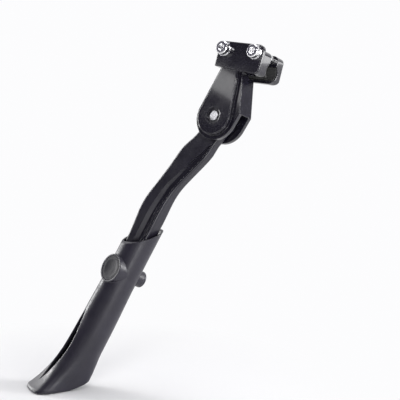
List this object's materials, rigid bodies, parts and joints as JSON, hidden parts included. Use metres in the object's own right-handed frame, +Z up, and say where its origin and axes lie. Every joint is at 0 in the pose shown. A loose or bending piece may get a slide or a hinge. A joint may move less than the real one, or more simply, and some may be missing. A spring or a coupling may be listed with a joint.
{
  "type": "bicycle kickstand",
  "caption": "Clamp-on bicycle side stand: two-bolt chainstay clamp, pivot housing, bent folding leg and push-button adjustable moulded foot with a flared toe.",
  "frame": {"origin": "on the chainstay's centre line, in the middle of the clamp", "axes": "+X along the chainstay towards the rear wheel's axle, -Y away from the bicycle, +Z up; the stand leans out towards -Y with its leg down"},
  "size_m": [0.1784, 0.1874, 0.3348],
  "materials": {
    "gloss_black_aluminium": "gloss black paint",
    "satin_black_aluminium": "satin black paint",
    "liner_rubber": "matte",
    "chrome_fastener": "polished",
    "bright_steel": "turned",
    "spring_steel": "drawn wire",
    "dark_steel": "black oxide",
    "white_nylon": "matte",
    "grey_moulded_plastic": "fine moulded grain",
    "black_plastic": "fine moulded grain"
  },
  "bodies": {
    "housing": {"pivot_housing": "gloss_black_aluminium", "housing_liner": "liner_rubber", "clamp_washer_front": "chrome_fastener", "clamp_washer_rear": "chrome_fastener", "pivot_pin": "bright_steel", "pin_washer": "bright_steel", "thrust_washer_front": "white_nylon", "thrust_washer_back": "white_nylon", "detent_spring": "spring_steel", "spring_plug": "dark_steel"},
    "jaw": {"rear_jaw": "gloss_black_aluminium", "rear_jaw_liner": "liner_rubber"},
    "bolt_front": {"clamp_bolt_front": "chrome_fastener"},
    "bolt_rear": {"clamp_bolt_rear": "chrome_fastener"},
    "plunger": {"detent_plunger": "bright_steel"},
    "leg": {"leg": "satin_black_aluminium"},
    "foot": {"foot_sleeve": "grey_moulded_plastic", "button_spring": "spring_steel", "spring_cap": "grey_moulded_plastic"},
    "button": {"push_button": "black_plastic", "lock_pin": "bright_steel"}
  },
  "joints": [
    {"name": "clamp_slide", "type": "slide", "parent": "housing", "child": "jaw", "axis": [0, 0.9272, -0.3746], "range_m": [0, 0.006]},
    {"name": "bolt_front_turn", "type": "hinge", "parent": "housing", "child": "bolt_front", "pos_m": [-0.018, 0.00487, 0.01205], "axis": [0, -0.9272, 0.3746], "continuous": true},
    {"name": "bolt_rear_turn", "type": "hinge", "parent": "housing", "child": "bolt_rear", "pos_m": [0.018, 0.00487, 0.01205], "axis": [0, -0.9272, 0.3746], "continuous": true},
    {"name": "detent_travel", "type": "slide", "parent": "housing", "child": "plunger", "axis": [-0.1219, -0.3718, -0.9203], "range_m": [0, 0.0008], "stiffness_N_per_m": 900, "deforming": ["detent_spring"]},
    {"name": "leg_fold", "type": "hinge", "parent": "housing", "child": "leg", "pos_m": [-0.0135, -0.02485, -0.0455], "axis": [0, -0.9272, 0.3746], "range_deg": [0, 96]},
    {"name": "foot_slide", "type": "slide", "parent": "leg", "child": "foot", "axis": [-0.2924, -0.3582, -0.8867], "range_m": [0, 0.045]},
    {"name": "button_press", "type": "slide", "parent": "foot", "child": "button", "axis": [0.1988, 0.8842, -0.4228], "range_m": [0, 0.002], "stiffness_N_per_m": 600, "deforming": ["button_spring"]}
  ]
}
